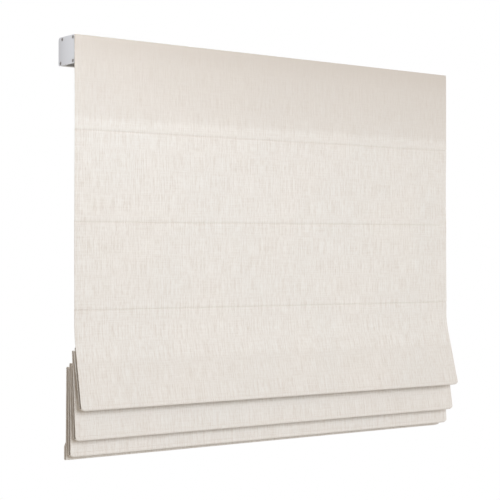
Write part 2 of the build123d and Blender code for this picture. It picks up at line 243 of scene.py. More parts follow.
print("a finish can set:", ", ".join(Finish("trial").sockets))
bpy.data.materials.remove(bpy.data.materials["trial"])

# %% [markdown]
# A few short helpers cover what nearly every finish here needs: where a point is, one coordinate of it, a
# pattern stretched differently along each direction, a ramp, a mix of two colours, and a bump. Cloth reads
# its own UV map, whose units are metres of cloth across and down, so that the threads bend with the folds.
# Hard parts read Object coordinates.


# %% Pattern helpers
CLOTH_MAP = "cloth"
ACROSS, DOWN = 0, 1  # the cloth map's axes


def cloth_place(finish):
    return finish.node("ShaderNodeUVMap", {"uv_map": CLOTH_MAP}, {})


def solid_place(finish):
    return finish.node("ShaderNodeTexCoord", {}, {}, "Object")


def coordinate(finish, place, axis):
    return finish.node("ShaderNodeSeparateXYZ", {}, {0: place}, axis)


def stretched_noise(finish, place, per_metre, detail=2.0, roughness=0.5):
    """Noise with its own number of grains per metre along each direction."""
    scaled = finish.node("ShaderNodeVectorMath", {"operation": "MULTIPLY"}, {0: place, 1: per_metre})
    return finish.node(
        "ShaderNodeTexNoise", {}, {"Vector": scaled, "Scale": 1.0, "Detail": detail, "Roughness": roughness}
    )


def ramp(finish, value, stops):
    return finish.node("ShaderNodeValToRGB", {"stops": stops}, {"Fac": value})


def opaque(color):
    """A colour socket wants four numbers; a link is left as it is."""
    return (*color, 1) if isinstance(color, tuple) else color


def blended(finish, factor, first, second):
    mix = {"data_type": "RGBA", "blend_type": "MIX"}
    return finish.node("ShaderNodeMix", mix, {0: factor, 6: opaque(first), 7: opaque(second)}, 2)


def sine(finish, angle):
    return finish.node("ShaderNodeMath", {"operation": "SINE"}, {0: angle})


def bump(finish, height, strength, distance):
    sockets = {"Height": height, "Strength": strength, "Distance": distance}
    return finish.node("ShaderNodeBump", {}, sockets)


print("pattern helpers ready")

# %% [markdown]
# ## Linen
# Linen yarn is spun from long flax fibres and is never even: thick places, called slubs, show as fine
# streaks a few centimetres long, most of them down the cloth. A stretched noise across the warp makes
# those, a fainter one makes the weft's, and a very large soft noise gives the slight pink and grey clouds
# of undyed flax. The weave itself is two sine waves in the bump, one for each thread direction. Daylight
# shows through a hung cloth, but not where the headrail or the folds are behind it, so a ramp down the
# cloth's own map paints that missing light into the colour as shade: those parts are a little duller and
# warmer. Along the flat part's seams a thin line of painted shade stands for the shadow in each groove.


# %% The face cloth
FLAX_DARK = (0.720, 0.662, 0.604)
FLAX_LIGHT = (0.880, 0.857, 0.820)
FLAX_PINK = (0.860, 0.818, 0.774)
FLAX_GREY = (0.826, 0.808, 0.778)
# the darker, warmer colour that painted shade pulls the linen towards
FLAX_IN_PAINTED_SHADE = (0.650, 0.590, 0.532)
THREADS_PER_METRE = 1150
SECTION = 160 * MM  # from one seam of the flat part to the next
SEAM_REACH = 2.6 * MM
FLAT_LENGTH = 4 * SECTION  # down to the first fold's foot
# a ramp of painted shade: where less light comes through the cloth, its colour is darkened
LIT_THROUGH = [  # (share of the flat length, how much light comes through)
    (0.0, 0.0), (0.07, 0.30), (0.21, 0.58),  # in front of the headrail, and in its shade
    (0.225, 0.88), (0.48, 0.95), (0.78, 0.97), (0.81, 1.0), (0.88, 1.0),  # in front of the window
    (0.895, 0.87),  # in front of the folds
]


def woven_height(finish, place, threads_per_metre):
    """Rounded ridges both ways, as a plain weave has."""
    half_turns = threads_per_metre * math.pi
    across = sine(finish, coordinate(finish, place, ACROSS) * half_turns)
    return across * sine(finish, coordinate(finish, place, DOWN) * half_turns)


def painted_seam_shade(finish, down):
    """1 along the flat part's seams, where the shadow of each stitched groove is painted, and 0 elsewhere."""
    off_seam = finish.node("ShaderNodeMath", {"operation": "PINGPONG"}, {0: down, 1: SECTION / 2})
    line = ramp(finish, off_seam * (1 / SEAM_REACH), [(0.0, 1.0), (1.0, 0.0)])
    above_folds = ramp(finish, down, [(3.2 * SECTION, 1.0), (3.3 * SECTION, 0.0)])
    return line * above_folds


def linen():
    finish = Finish("linen", sheen_weight=0.12, sheen_roughness=0.6, specular_ior_level=0.25)
    place = cloth_place(finish)
    warp = stretched_noise(finish, place, (470, 26, 1), 3.0, 0.6)
    fine_warp = stretched_noise(finish, place, (1000, 110, 1), 1.0)
    weft = stretched_noise(finish, place, (24, 520, 1), 3.0, 0.6)
    streaks = warp * 0.52 + fine_warp * 0.27 + weft * 0.21
    slub = ramp(finish, streaks, [(0.38, 0.0), (0.52, 0.70), (0.62, 1.0)])
    cloud = ramp(finish, stretched_noise(finish, place, (7, 5, 1), 2.0), [(0.38, 0.0), (0.62, 1.0)])
    tint = blended(finish, cloud, FLAX_GREY, FLAX_PINK)
    pale = blended(finish, 0.5, tint, FLAX_LIGHT)
    woven = blended(finish, slub, FLAX_DARK, pale)
    down = coordinate(finish, place, DOWN)
    lit_through = ramp(finish, down * (1 / FLAT_LENGTH), LIT_THROUGH)
    # painted shade where the headrail or the folds keep daylight from coming through
    woven_in_painted_shade = blended(finish, (1 - lit_through) * 0.95, woven, FLAX_IN_PAINTED_SHADE)
    # painted shade along the flat part's seams, for the shadow in each stitched groove
    color = blended(finish, painted_seam_shade(finish, down) * 0.17, woven_in_painted_shade, FLAX_IN_PAINTED_SHADE)
    height = woven_height(finish, place, THREADS_PER_METRE) * 0.3 + streaks
    normal = bump(finish, height, 0.35, 0.5 * MM)
    return finish.set(base_color=color, roughness=0.96 - slub * 0.08, normal=normal)


linen_cloth = linen()
print("made", linen_cloth.name, "with", len(linen_cloth.node_tree.nodes), "nodes")

# %% [markdown]
# ## Lining, thread and tapes
# The lining is a plain ivory cotton: a finer, more even weave with almost no slubs. Sewing thread is
# twisted, so its bump runs in slanting lines. The hook and loop tapes that hold the cloth to the headrail
# are covered in fuzz, which a fine three-way noise gives.


# %% Lining, thread, tapes
def lining():
    finish = Finish("lining_cotton", sheen_weight=0.08, specular_ior_level=0.25)
    place = cloth_place(finish)
    slub = stretched_noise(finish, place, (700, 60, 1), 2.0)
    weft = stretched_noise(finish, place, (60, 700, 1), 2.0)
    color = blended(finish, slub * 0.5 + weft * 0.5, (0.74, 0.71, 0.65), (0.86, 0.84, 0.79))
    normal = bump(finish, woven_height(finish, place, 1600) * 0.3 + weft, 0.25, 0.3 * MM)
    return finish.set(base_color=color, roughness=0.84 + slub * 0.12, normal=normal)


def thread():
    finish = Finish("sewing_thread", sheen_weight=0.2, specular_ior_level=0.3)
    place = solid_place(finish)
    twist = stretched_noise(finish, place, (900, 2600, 2600), 1.0)
    color = blended(finish, twist, (0.58, 0.50, 0.41), (0.74, 0.68, 0.60))
    normal = bump(finish, twist, 0.4, 0.2 * MM)
    return finish.set(base_color=color, roughness=0.7 + twist * 0.2, normal=normal)


def fuzzy_tape(name, dark, light, loops_per_metre):
    finish = Finish(name, sheen_weight=0.3, specular_ior_level=0.2)
    place = solid_place(finish)
    fuzz = stretched_noise(finish, place, (loops_per_metre,) * 3, 3.0, 0.7)
    color = blended(finish, fuzz, dark, light)
    normal = bump(finish, fuzz, 0.7, 0.5 * MM)
    return finish.set(base_color=color, roughness=0.8 + fuzz * 0.2, normal=normal)


lining_cloth = lining()
seam_thread = thread()
hook_tape = fuzzy_tape("hook_tape", (0.42, 0.40, 0.37), (0.72, 0.70, 0.66), 900)
loop_tape = fuzzy_tape("loop_tape", (0.55, 0.52, 0.48), (0.80, 0.78, 0.74), 1500)
print("soft finishes:", [m.name for m in (lining_cloth, seam_thread, hook_tape, loop_tape)])

# %% [markdown]
# ## Metal and plastic
# The headrail is powder coated aluminium: a matt film with a very fine orange-peel texture. End caps are
# moulded in a cool light grey plastic, smoother but with a faint spark-eroded grain. Screws are zinc plated
# and finely scratched, and the hidden drive has the plainer finishes of machine parts. Each is one call of
# a small function, so that a grain size and two colours say what is different.


# %% Hard finishes
FRONT_TO_BACK = 1  # the axis
RAIL_DEPTH = 55 * MM


def shaded_towards_wall(finish, color):
    """Painted shade: a moulded cap's colour is darkened towards the wall that it backs on."""
    from_wall = coordinate(finish, solid_place(finish), FRONT_TO_BACK) * (-1 / RAIL_DEPTH)
    # painted shade, darkest at the wall
    wall_shade = ramp(finish, from_wall, [(0.0, 0.32), (0.5, 0.10), (1.0, 0.0)])
    return blended(finish, wall_shade, color, (0.30, 0.30, 0.32))


def grained(name, dark, light, grain, rough, depth, metallic=0.0, coat=0.0, paint_wall_shade=False):
    """Moulded or coated: a grain (per metre along each direction) shades colour, roughness and bump."""
    finish = Finish(name, metallic=metallic, coat_weight=coat, coat_roughness=0.2)
    place = solid_place(finish)
    fine = stretched_noise(finish, place, grain, 2.0)
    broad = stretched_noise(finish, place, (14, 14, 14), 2.0)
    color = blended(finish, fine * 0.5 + broad * 0.5, dark, light)
    # painted shade on the colour towards the wall
    if paint_wall_shade:
        color = shaded_towards_wall(finish, color)
    normal = bump(finish, fine, depth, 0.1 * MM)
    return finish.set(base_color=color, roughness=rough + fine * 0.12 - broad * 0.06, normal=normal)


EVEN = (1800, 1800, 1800)
rail_coat = grained("rail_powder_coat", (0.66, 0.67, 0.68), (0.76, 0.77, 0.78), EVEN, 0.46, 0.25)
# the end caps get painted shade towards the wall
cap_plastic = grained(
    "end_cap_plastic", (0.74, 0.765, 0.825), (0.82, 0.845, 0.905), EVEN, 0.36, 0.15, paint_wall_shade=True
)
white_moulding = grained("white_moulding", (0.78, 0.78, 0.77), (0.86, 0.86, 0.85), EVEN, 0.38, 0.12)
dark_moulding = grained("dark_moulding", (0.06, 0.06, 0.065), (0.11, 0.11, 0.115), EVEN, 0.42, 0.2)
screw_zinc = grained(
    "screw_zinc", (0.30, 0.30, 0.32), (0.52, 0.52, 0.55), (900, 4200, 900), 0.34, 0.3, metallic=1.0
)
bracket_zinc = grained(
    "bracket_zinc", (0.55, 0.56, 0.57), (0.70, 0.71, 0.72), (500, 500, 60), 0.5, 0.2, metallic=1.0
)
shaft_steel = grained(
    "shaft_steel", (0.42, 0.42, 0.43), (0.58, 0.58, 0.60), (90, 3000, 3000), 0.3, 0.25, metallic=1.0
)
bar_aluminium = grained(
    "bar_aluminium", (0.66, 0.66, 0.67), (0.78, 0.78, 0.79), (60, 2600, 2600), 0.36, 0.2, metallic=1.0
)
rod_glassfibre = grained(
    "rod_glassfibre", (0.16, 0.13, 0.10), (0.30, 0.25, 0.20), (40, 2600, 2600), 0.42, 0.3
)
motor_shell = grained(
    "motor_shell", (0.70, 0.70, 0.70), (0.80, 0.80, 0.80), (120, 2200, 2200), 0.3, 0.15, coat=0.2
)
print("hard finishes made")

# %% [markdown]
# Clear rings are moulded in a milky plastic. Glass-like transmission would need many samples on something
# so small, so the look is a pale coat with light scattered under it.


# %% Rings and cord
def milky_plastic():
    finish = Finish("ring_plastic", subsurface_weight=0.3, subsurface_scale=0.002, ior=1.49, coat_weight=0.4)
    mottle = stretched_noise(finish, solid_place(finish), (500, 500, 500), 2.0)
    color = blended(finish, mottle, (0.76, 0.77, 0.76), (0.86, 0.87, 0.86))
    return finish.set(base_color=color, roughness=0.2 + mottle * 0.15)


RIDGES_ROUND = 4
RIDGES_PER_METRE = 500


def braided_cord():
    """Two sets of slanting ridges round the cord, from its own map: turns across, metres along."""
    finish = Finish("braided_cord", sheen_weight=0.2, specular_ior_level=0.3)
    round_it = coordinate(finish, cloth_place(finish), ACROSS) * (math.tau * RIDGES_ROUND)
    along = coordinate(finish, cloth_place(finish), DOWN) * (math.tau * RIDGES_PER_METRE)
    braid = sine(finish, along + round_it) * sine(finish, along - round_it) * 0.5 + 0.5
    color = blended(finish, braid, (0.66, 0.64, 0.60), (0.88, 0.87, 0.84))
    normal = bump(finish, braid, 0.6, 0.15 * MM)
    return finish.set(base_color=color, roughness=0.8 - braid * 0.15, normal=normal)


ring_plastic = milky_plastic()
cord_braid = braided_cord()
wound_cord = grained("wound_cord", (0.62, 0.60, 0.56), (0.88, 0.87, 0.84), (830, 60, 60), 0.7, 0.8)
print("made", ring_plastic.name, cord_braid.name, wound_cord.name)

# %% [markdown]
# ## Which CAD part gets which finish
# A CAD node's name starts with what it is, so one table from name starts to finishes dresses them all. Where
# two starts fit a name, the longer one is meant. A node's mesh is left alone: only its material changes.

# %% Dress the CAD nodes
BY_START = {
    "headrail": rail_coat,
    "end_cap_left": cap_plastic,
    "end_cap_right": cap_plastic,
    "end_cap_screws": screw_zinc,
    "bracket": bracket_zinc,
    "hook_tape": hook_tape,
    "loop_tape": loop_tape,
    "rod_": rod_glassfibre,
    "cord_rings": ring_plastic,
    "cord_locks": ring_plastic,
    "cord_turns": wound_cord,
    "hem_bar": bar_aluminium,
    "hem_plug": white_moulding,
    "spool_cradle": white_moulding,
    "spool_left": white_moulding,
    "spool_middle": white_moulding,
    "spool_right": white_moulding,
    "drive_shaft": shaft_steel,
    "drive_hub": dark_moulding,
    "lift_motor": motor_shell,
    "motor_saddle": dark_moulding,
    "blind_cloth": linen_cloth,
    "lift_cord": cord_braid,
}

for node_name, node in nodes.items():
    starts = [start for start in BY_START if node_name.startswith(start)]
    node.data.materials.clear()
    node.data.materials.append(BY_START[max(starts, key=len)])
print("dressed", len(nodes), "nodes")

# %% [markdown]
# ## Measures of the cloth
# Everything soft is placed from the frame: the middle of each rod, the tape that the cloth hangs from, and
# the sleeves' size, which says how closely the cloth may turn round a rod. Rods 1 to 3 lie behind the flat
# part; then each pleat has a front rod in its foot and a back rod at its head.


# %% Rods and cloth measures
def middle(node_name):
    low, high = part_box(node_name)
    return (low + high) / 2


RODS = [middle(f"rod_{number}") for number in range(1, 10)]
cloth_low, cloth_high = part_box("blind_cloth")
sleeve_low, sleeve_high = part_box("rod_sleeve_1")
CLOTH_THICK = 1.2 * MM
CLOTH_CLEAR = 0.3 * MM  # between the cloth and a sleeve
BELOW_RAIL = 2 * MM
HALF_WIDTH = cloth_high.x
CLOTH_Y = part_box("loop_tape")[0].y - CLOTH_THICK / 2
TOP_Z = cloth_high.z
PANEL_TOP_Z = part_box("headrail")[0].z - BELOW_RAIL
SLEEVE_RADIUS = (sleeve_high.z - sleeve_low.z) / 2
AROUND_ROD = SLEEVE_RADIUS + CLOTH_CLEAR + CLOTH_THICK / 2
HEM_DEPTH, HEM_HEIGHT = 5.5 * MM, 30 * MM
print("rods:", [(round(rod.y / MM, 1), round(rod.z / MM, 1)) for rod in RODS])

# %% [markdown]
# ## The cloth's line
# Seen from its side edge the blind is one line: down the front, round each pleat's foot, back up to its
# head, down again, and up into the hem. The line is drawn as a wire of corner points. A vertex bevel rounds
# each corner, since its offset is the radius times the tangent of half the turn. Extra points in the
# straight runs mark where seams, stitches and the joins between moving pieces will be.

# %% Corners of the line
FOLD_START = 40 * MM  # from the third seam down to where the cloth leans forward
FOLD_START_RADIUS = 150 * MM
LOOP_HALF = AROUND_ROD + 1.1 * MM  # half a fold's depth at its foot
TURN_HALF = 2.0 * MM  # and at its head
TURN_RADIUS = 1.7 * MM
HEM_RADIUS = 2.2 * MM
SEAM_STEPS = (5 * MM, 1.6 * MM, 0.8 * MM, 0, -0.8 * MM, -1.6 * MM, -5 * MM)  # points that draw a groove
FOOT_STITCH = 7.5 * MM  # from a fold's foot up to the stitches that close its rod pocket
STITCH_ROW = 2 * MM  # from those stitches to the rows above and below them
HEM_BEHIND_ROD = 2.5 * MM


def toward(start, end, distance):
    """The (y, z) point that lies a distance from start towards end."""
    run = Vector(end) - Vector(start)
    return tuple(Vector(start) + run.normalized() * distance)


def cloth_corners():
    """(point, radius, mark) from the top edge down. A mark names what is at that point."""
    corners = [((CLOTH_Y, TOP_Z), 0, "heading"), ((CLOTH_Y, PANEL_TOP_Z), 0, "panel")]
    for number, rod in enumerate(RODS[:3], start=1):
        for step in SEAM_STEPS:
            mark = f"seam_{number}" if step == 0 else None
            corners.append(((CLOTH_Y, rod.z + step), 0, mark))
    start = (CLOTH_Y, RODS[2].z - FOLD_START)
    corners.append((start, FOLD_START_RADIUS, None))
    for pleat, (front, back) in enumerate(zip(RODS[3::2], RODS[4::2]), start=1):
        foot, head = front.z - AROUND_ROD, back.z - AROUND_ROD
        near, far = (front.y - LOOP_HALF, foot), (front.y + LOOP_HALF, foot)
        for step in (FOOT_STITCH + STITCH_ROW, FOOT_STITCH, FOOT_STITCH - STITCH_ROW):
            mark = f"foot_{pleat}" if step == FOOT_STITCH else None
            corners.append((toward(near, start, step), 0, mark))
        corners.append((near, AROUND_ROD, None))
        corners.append(((front.y, foot), 0, f"pleat_{pleat}_back"))
        corners.append((far, AROUND_ROD, None))
        rise, fall = (back.y - TURN_HALF, head), (back.y + TURN_HALF, head)
        corners.append((rise, TURN_RADIUS, None))
        corners.append(((back.y, head), 0, f"pleat_{pleat + 1}_front"))
        corners.append((fall, TURN_RADIUS, None))
        start = fall
    return corners


def hem_corners():
    """The hem at the very end: down the back, round the bar's foot and up again."""
    outside = RODS[8].y + HEM_BEHIND_ROD
    foot = cloth_low.z + CLOTH_THICK / 2
    inside = outside + HEM_DEPTH
    corners = [((outside, foot + HEM_HEIGHT), 0, "hem_stitch")]
    corners += [((outside, foot), HEM_RADIUS, None), ((inside, foot), HEM_RADIUS, None)]
    return corners + [((inside, foot + HEM_HEIGHT), 0, None)]


line = cloth_corners() + hem_corners()
print("the line has", len(line), "points")

# %% [markdown]
# Long runs of the wire are cut into short ones, so that the cloth can sag between its seams, and each point
# is told how far down the cloth it lies. That length is the cloth's own coordinate, for the threads and for
# cutting it into pieces. The marked points are looked up by place, because operators may rebuild the
# vertices they were made as.

# %% Draw the wire
ROW_STEP = 7 * MM
GENTLE_TURN = math.radians(30)


def round_corner(bm, corner, radius):
    before, after = [edge.other_vert(corner).co - corner.co for edge in corner.link_edges]
    turn = math.pi - before.angle(after)
    segments = 4 if turn < GENTLE_TURN else 7
    bmesh.ops.bevel(
        bm, geom=[corner], offset=radius * math.tan(turn / 2), offset_type="OFFSET", segments=segments,
        profile=0.5, affect="VERTICES", clamp_overlap=False, material=-1,
    )


def draw_wire(corners):
    """A rounded wire, divided into short edges."""
    bm = bmesh.new()
    bm.verts.layers.float.new("down")
    made = [bm.verts.new((-HALF_WIDTH, y, z)) for (y, z), _, _ in corners]
    for above, below in zip(made, made[1:]):
        bm.edges.new((above, below))
    for vertex, (_, radius, _) in zip(made, corners):
        if radius:
            round_corner(bm, vertex, radius)
    for edge in list(bm.edges):
        cuts = math.ceil(edge.calc_length() / ROW_STEP) - 1
        if cuts > 0:
            bmesh.ops.subdivide_edges(bm, edges=[edge], cuts=cuts)
    return bm


def vertex_at(bm, point):
    """The wire's vertex nearest a (y, z) point."""
    place = Vector((-HALF_WIDTH, *point))
    return min(bm.verts, key=lambda vertex: (vertex.co - place).length)


def measure_down(bm, first):
    """Store in each vertex its distance along the wire from the first one."""
    down = bm.verts.layers.float["down"]
    vertex, came_by, length = first, None, 0.0
    while True:
        vertex[down] = length
        onward = [edge for edge in vertex.link_edges if edge != came_by]
        if not onward:
            return length
        came_by = onward[0]
        length += came_by.calc_length()
        vertex = came_by.other_vert(vertex)


sheet = draw_wire(line)
CLOTH_LENGTH = measure_down(sheet, vertex_at(sheet, line[0][0]))
down_layer = sheet.verts.layers.float["down"]
down_at = {mark: vertex_at(sheet, point)[down_layer] for point, _, mark in line if mark}
print("cloth length:", round(CLOTH_LENGTH / MM, 1), "mm")
print("marks:", {mark: round(down / MM) for mark, down in down_at.items()})

# %% [markdown]
# ## From a line to a sheet
# Extruding the wire across the width makes the whole cloth at once. The cross edges are then subdivided
# into columns, with extra ones close to the sides, where the face cloth is turned in and the lining begins.

# %% Extrude the sheet
COLUMNS = 119
SIDE_TURNING = 22 * MM  # face cloth that shows on the back along each side
LAP = 14 * MM  # where the lining lies over the turning
LAP_EDGE = 1 * MM
SIDE_COLUMNS = [1.2 * MM, 2.8 * MM, 5 * MM]
SIDE_COLUMNS += [SIDE_TURNING, SIDE_TURNING + LAP_EDGE, SIDE_TURNING + LAP, SIDE_TURNING + LAP + LAP_EDGE]


def extrude_across(bm, width, columns):
    """Extrude every edge of a line at the left across to the right, and divide what it makes into columns."""
    made = bmesh.ops.extrude_edge_only(bm, edges=bm.edges[:])["geom"]
    moved = [item for item in made if isinstance(item, bmesh.types.BMVert)]
    bmesh.ops.translate(bm, verts=moved, vec=(width, 0, 0))
    across = [edge for edge in bm.edges if abs(edge.verts[0].co.x - edge.verts[1].co.x) > HALF_WIDTH]
    bmesh.ops.subdivide_edges(bm, edges=across, cuts=columns, use_grid_fill=True)


def extrude_sheet(bm):
    extrude_across(bm, 2 * HALF_WIDTH, COLUMNS)
    for from_side in SIDE_COLUMNS:
        for side in (-1, 1):
            bmesh.ops.bisect_plane(
                bm, geom=bm.verts[:] + bm.edges[:] + bm.faces[:],
                plane_co=(side * (HALF_WIDTH - from_side), 0, 0), plane_no=(1, 0, 0),
            )
    bmesh.ops.recalc_face_normals(bm, faces=bm.faces[:])


def face_front(bm):
    """Turn the faces so that the flat part's front looks at the room."""
    upper = max(bm.faces, key=lambda face: face.calc_center_median().z)
    if upper.normal.y > 0:
        bmesh.ops.reverse_faces(bm, faces=bm.faces[:])
        bm.normal_update()


def lay_map(bm):
    """The cloth's own map: metres across and metres down."""
    cloth_map = bm.loops.layers.uv.new(CLOTH_MAP)
    down = bm.verts.layers.float["down"]
    for face in bm.faces:
        for loop in face.loops:
            loop[cloth_map].uv = (loop.vert.co.x, loop.vert[down])


extrude_sheet(sheet)
face_front(sheet)
lay_map(sheet)
print("sheet:", len(sheet.verts), "vertices,", len(sheet.faces), "faces")

# %% [markdown]
# ## Hang it
# Real cloth isn't flat. It billows by a fraction of a millimetre between the rods, which hold it straight;
# it dips into each stitched seam and swells beside it; and its sides curl back a little. Each of these is
# one term of a function of the place on the cloth, and moving every vertex along its own normal adds them
# to folds and flat alike.

# %% Billow, tuck and curl
BILLOW = 0.55 * MM
BILLOW_FREE = 45 * MM  # from a rod to where the cloth moves freely
TUCK_DEPTH, TUCK_WIDTH = 0.95 * MM, 1.2 * MM
SEAM_SWELL, SWELL_WIDTH = 0.30 * MM, 7 * MM
SWELL_ABOVE, SWELL_BELOW = 9 * MM, 8 * MM
FOOT_DENT, FOOT_DENT_WIDTH = 0.25 * MM, 1.5 * MM
SIDE_CURL, CURL_WIDTH = 1.5 * MM, 6 * MM
seams_down = [down_at[f"seam_{number}"] for number in (1, 2, 3)]
feet_down = [down_at[f"foot_{pleat}"] for pleat in (1, 2, 3)]
rows_down = seams_down + [down_at[m] for m in down_at if m.startswith(("foot", "pleat", "hem"))]


def bell(distance, width):
    return math.exp(-((distance / width) ** 2))


def waves(x, down, across_per_metre, down_per_metre, layer):
    """Smooth noise; each layer has waves of its own."""
    return noise.noise(Vector((x * across_per_metre, down * down_per_metre, layer)))


def billow(x, down):
    """Slow waves that fade out at the rods."""
    held = min(1.0, min(abs(down - row) for row in rows_down) / BILLOW_FREE)
    return BILLOW * held * (waves(x, down, 5, 7, 1.5) + 0.35 * waves(x, down, 19, 16, 4.0))


def seam_shape(down):
    """A stitched groove at each flat seam, with the cloth swelling above and below it."""
    shape = 0.0
    for seam in seams_down:
        off = down - seam
        shape -= TUCK_DEPTH * bell(off, TUCK_WIDTH)
        swell = bell(off + SWELL_ABOVE, SWELL_WIDTH) + 0.6 * bell(off - SWELL_BELOW, SWELL_WIDTH)
        shape += SEAM_SWELL * swell
    return shape


def foot_shape(down):
    """A shallow dent along the stitches above each fold's foot."""
    return -FOOT_DENT * sum(bell(down - foot, FOOT_DENT_WIDTH) for foot in feet_down)


def side_curl(x, down):
    return SIDE_CURL * bell(HALF_WIDTH - abs(x), CURL_WIDTH) * (0.5 + waves(x, down, 3, 9, 0))


print("rows that hold the cloth:", [round(row / MM) for row in sorted(rows_down)])

# %% [markdown]
# Three more terms move the cloth in its own plane. The folded part spreads a few millimetres wider than the
# flat part, the corners of each fold's foot round upwards, and the first two seams aren't quite level.

# %% Flare, corners and slip
HEAD_FLARE = 1.5 * MM
FLARES = [  # (distance down, how much wider on each side)
    (down_at["seam_3"] + FOLD_START, 0),
    (down_at["foot_1"], 4 * MM),
    (down_at["pleat_2_front"], HEAD_FLARE),
    (down_at["foot_2"], 5 * MM),
    (down_at["pleat_3_front"], HEAD_FLARE),
    (down_at["foot_3"], 5 * MM),
    (down_at["pleat_4_front"], HEAD_FLARE),
    (CLOTH_LENGTH, 3 * MM),
]
CORNER_LIFT, CORNER_REACH = 3.0 * MM, 6 * MM
CORNER_HEIGHT = 12 * MM
SEAM_SLIP = {"seam_1": (6.0 * MM, -0.5 * MM), "seam_2": (6.5 * MM, -2.5 * MM)}  # (left, right) drop
SLIP_REACH = 45 * MM


def flare(place):
    """How much wider each half of the cloth is: nothing above the folds, then more at feet than at heads."""
    for (above, wide), (below, wider) in zip(FLARES, FLARES[1:]):
        if above <= place <= below:
            return wide + (wider - wide) * (place - above) / (below - above)
    return 0.0


def corner_lift(from_side, place):
    """A fold's foot is stiffest where its side is turned in, so its corners round upwards."""
    near_foot = sum(bell(place - down_at[f"pleat_{pleat}_back"], CORNER_HEIGHT) for pleat in (1, 2, 3))
    return CORNER_LIFT * max(0.0, 1 - from_side / CORNER_REACH) ** 2 * near_foot


def seam_slip(x, place):
    """Seams are sewn by eye: the first two run low on the left, and take the threads near them along."""
    share = (1 - x / HALF_WIDTH) / 2
    drop = 0.0
    for seam, (left, right) in SEAM_SLIP.items():
        drop += (right + (left - right) * share) * bell(place - down_at[seam], SLIP_REACH)
    return drop


def hang(bm):
    down = bm.verts.layers.float["down"]
    moves = []
    for vertex in bm.verts:
        x, place = vertex.co.x, vertex[down]
        off = billow(x, place) + seam_shape(place) + foot_shape(place) - side_curl(x, place) + CLOTH_THICK / 2
        rise = corner_lift(HALF_WIDTH - abs(x), place) - seam_slip(x, place)
        along = Vector((flare(place) * x / HALF_WIDTH, 0, rise))
        moves.append((vertex, vertex.normal * off + along))
    for vertex, move in moves:
        vertex.co += move
    bm.normal_update()


hang(sheet)
print("the cloth's front is at y =", round(min(v.co.y for v in sheet.verts) / MM, 2), "mm")

# %% [markdown]
# ## One piece for each moving part
# The blind's joints lift the stack and open its pleats, so the sheet is cut where one motion ends and the
# next begins, at seams or inside folds. Neighbours share the cut's exact points, so no gap shows. Each
# piece becomes a closed slab with a Solidify modifier: the mesh is the face side and the slab grows
# backwards. The modifier is applied at once, so that the edges can be marked crisp on the finished slab.

# %% From mesh to object
CRISP = math.radians(50)


def object_from(bm, name, materials):
    """A smooth mesh object at the origin."""
    mesh = bpy.data.meshes.new(name)
    bm.to_mesh(mesh)
    mesh.shade_smooth()
    made = bpy.data.objects.new(name, mesh)
    bpy.context.scene.collection.objects.link(made)
    for material in materials:
        mesh.materials.append(material)
    return made


def settle(made):
    """Apply the modifiers, and keep the slab's edges crisp so that a cut doesn't shade as a round one."""
    bpy.context.view_layer.update()
    graph = bpy.context.evaluated_depsgraph_get()
    made.data = bpy.data.meshes.new_from_object(made.evaluated_get(graph))
    made.data.name = made.name
    made.data.set_sharp_from_angle(angle=CRISP)
    made.modifiers.clear()


print("edges sharper than", round(math.degrees(CRISP)), "degrees stay crisp")

# %% [markdown]
# The slab has a vertex group that makes the lapped side turnings thicker than the middle, and its material
# offset paints the lining on the back. A pleat's back leg turns over when the pleat opens, which a slide
# can't do to its mesh, so its two sides swap finishes: the linen is on the side that faces the room once
# the leg hangs open, and inside the fold until then.

# %% Cut and thicken
CLOTH_SLOTS = [linen_cloth, lining_cloth]  # face and back of the middle
CLOTH_SLOTS += [linen_cloth, linen_cloth]  # of the side turnings
CLOTH_SLOTS += [lining_cloth, linen_cloth]  # of a leg that turns over
MIDDLE_SLOT, TURNING_SLOT, FLIPPED_SLOT = 0, 2, 4
FOOT_ROUND = 12 * MM  # round a fold's foot the linen stays outside
TURNING_SHARE, LAP_SHARE, MIDDLE_SHARE = 0.85, 1.0, 0.75  # of the cloth's thickness


def thickness_share(x):
    from_side = HALF_WIDTH - abs(x)
    if from_side <= SIDE_TURNING:
        return TURNING_SHARE
    return LAP_SHARE if from_side <= SIDE_TURNING + LAP else MIDDLE_SHARE


def slot_for(x, from_start, is_back):
    if HALF_WIDTH - abs(x) < SIDE_TURNING:
        return TURNING_SLOT
    return FLIPPED_SLOT if is_back and from_start > FOOT_ROUND else MIDDLE_SLOT


def cut_out(bm, name, start, end):
    """The part of the sheet between two distances down, as its own slab."""
    part = bm.copy()
    down = part.verts.layers.float["down"]
    extra = []
    for face in part.faces:
        place = sum(vertex[down] for vertex in face.verts) / len(face.verts)
        if not start < place < end:
            extra.append(face)
        x = face.calc_center_median().x
        face.material_index = slot_for(x, place - start, name.endswith("back"))
    bmesh.ops.delete(part, geom=extra, context="FACES")
    made = object_from(part, name, CLOTH_SLOTS)
    group = made.vertex_groups.new(name="layers")
    for vertex in made.data.vertices:
        group.add([vertex.index], thickness_share(vertex.co.x), "REPLACE")
    part.free()
    slab = made.modifiers.new("cloth", "SOLIDIFY")
    slab.thickness = CLOTH_THICK
    slab.offset = -1
    slab.vertex_group = group.name
    slab.material_offset = 1
    settle(made)
    return made


